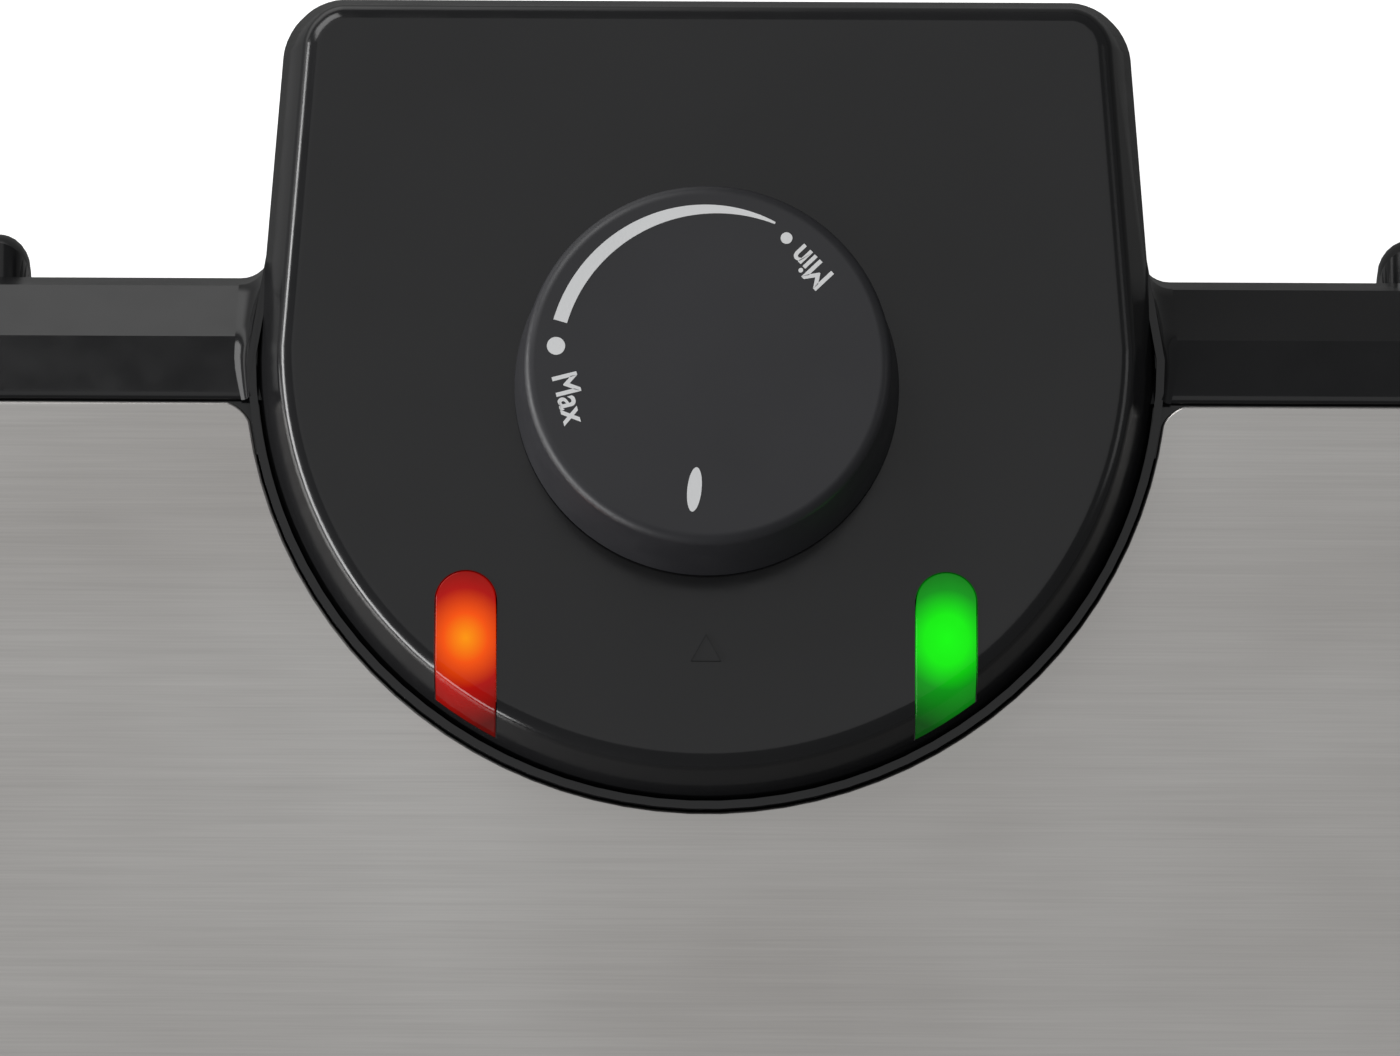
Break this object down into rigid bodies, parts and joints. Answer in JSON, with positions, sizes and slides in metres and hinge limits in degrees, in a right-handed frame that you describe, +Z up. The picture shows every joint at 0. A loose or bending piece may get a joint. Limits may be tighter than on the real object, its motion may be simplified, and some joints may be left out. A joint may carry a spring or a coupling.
{
  "type": "waffle maker",
  "caption": "Hinged waffle maker with two grid plates, a brushed steel lid cover, a rotary heat knob and signal lights in a housing over the rear edge, and a wire latch.",
  "frame": {"origin": "centre of the footprint box, on the table the feet stand on", "axes": "+X right, -Y towards the user and the handles, +Z up"},
  "size_m": [0.25, 0.278, 0.1106],
  "materials": {
    "black_housing": "moulded satin black",
    "black_underside": "moulded matt black",
    "knob_plastic": "fine-grained satin dark grey",
    "brushed_steel": "brushed across the width",
    "nonstick_plate": "dark non-stick coating",
    "plated_steel": "zinc plated",
    "aluminised_sheet": "mill",
    "heater_sheath": "oxidised",
    "black_rubber": "matt",
    "steatite": "unglazed",
    "wire_sleeve": "woven glass sleeve over silicone",
    "red_lens": "clear red, lit",
    "green_lens": "clear green, lit",
    "lamp_glass": "clear"
  },
  "bodies": {
    "base": {"base_housing": "black_housing", "base_bottom": "black_underside", "rubber_feet": "black_rubber", "bottom_screws": "plated_steel", "lower_plate": "nonstick_plate", "lower_plate_screws": "plated_steel", "lower_element": "heater_sheath", "lower_element_clips": "plated_steel", "lower_reflector": "aluminised_sheet", "base_handle": "black_housing", "base_handle_screws": "plated_steel", "hinge_pins": "plated_steel", "cord_gland": "black_rubber", "gland_nut": "black_underside", "terminal_block": "steatite", "base_wires": "wire_sleeve"},
    "lid": {"lid_frame": "black_housing", "steel_cover": "brushed_steel", "upper_plate": "nonstick_plate", "upper_plate_screws": "plated_steel", "upper_element": "heater_sheath", "upper_element_clips": "plated_steel", "upper_reflector": "aluminised_sheet", "lid_handle": "black_housing", "lid_handle_screws": "plated_steel", "control_cover": "black_housing", "control_floor": "black_housing", "control_floor_screws": "plated_steel", "red_lens": "red_lens", "green_lens": "green_lens", "indicator_lamps": "lamp_glass", "lamp_bracket": "plated_steel", "thermostat": "steatite", "thermostat_bracket": "plated_steel", "thermostat_screws": "plated_steel", "thermal_fuse": "steatite", "lid_wires": "wire_sleeve"},
    "knob": {"control_knob": "knob_plastic", "knob_clip": "plated_steel", "thermostat_spindle": "plated_steel"},
    "latch": {"latch_bail": "plated_steel"}
  },
  "joints": [
    {"name": "lid_hinge", "type": "hinge", "parent": "base", "child": "lid", "pos_m": [0, 0.112, 0.055], "axis": [-1, 0, 0], "range_deg": [0, 100]},
    {"name": "knob_turn", "type": "hinge", "parent": "lid", "child": "knob", "pos_m": [0, 0.092, 0.098], "axis": [0, 0, 1], "range_deg": [-265, 0]},
    {"name": "latch_swing", "type": "hinge", "parent": "base", "child": "latch", "pos_m": [0, -0.129, 0.043], "axis": [-1, 0, 0], "range_deg": [0, 197]}
  ]
}
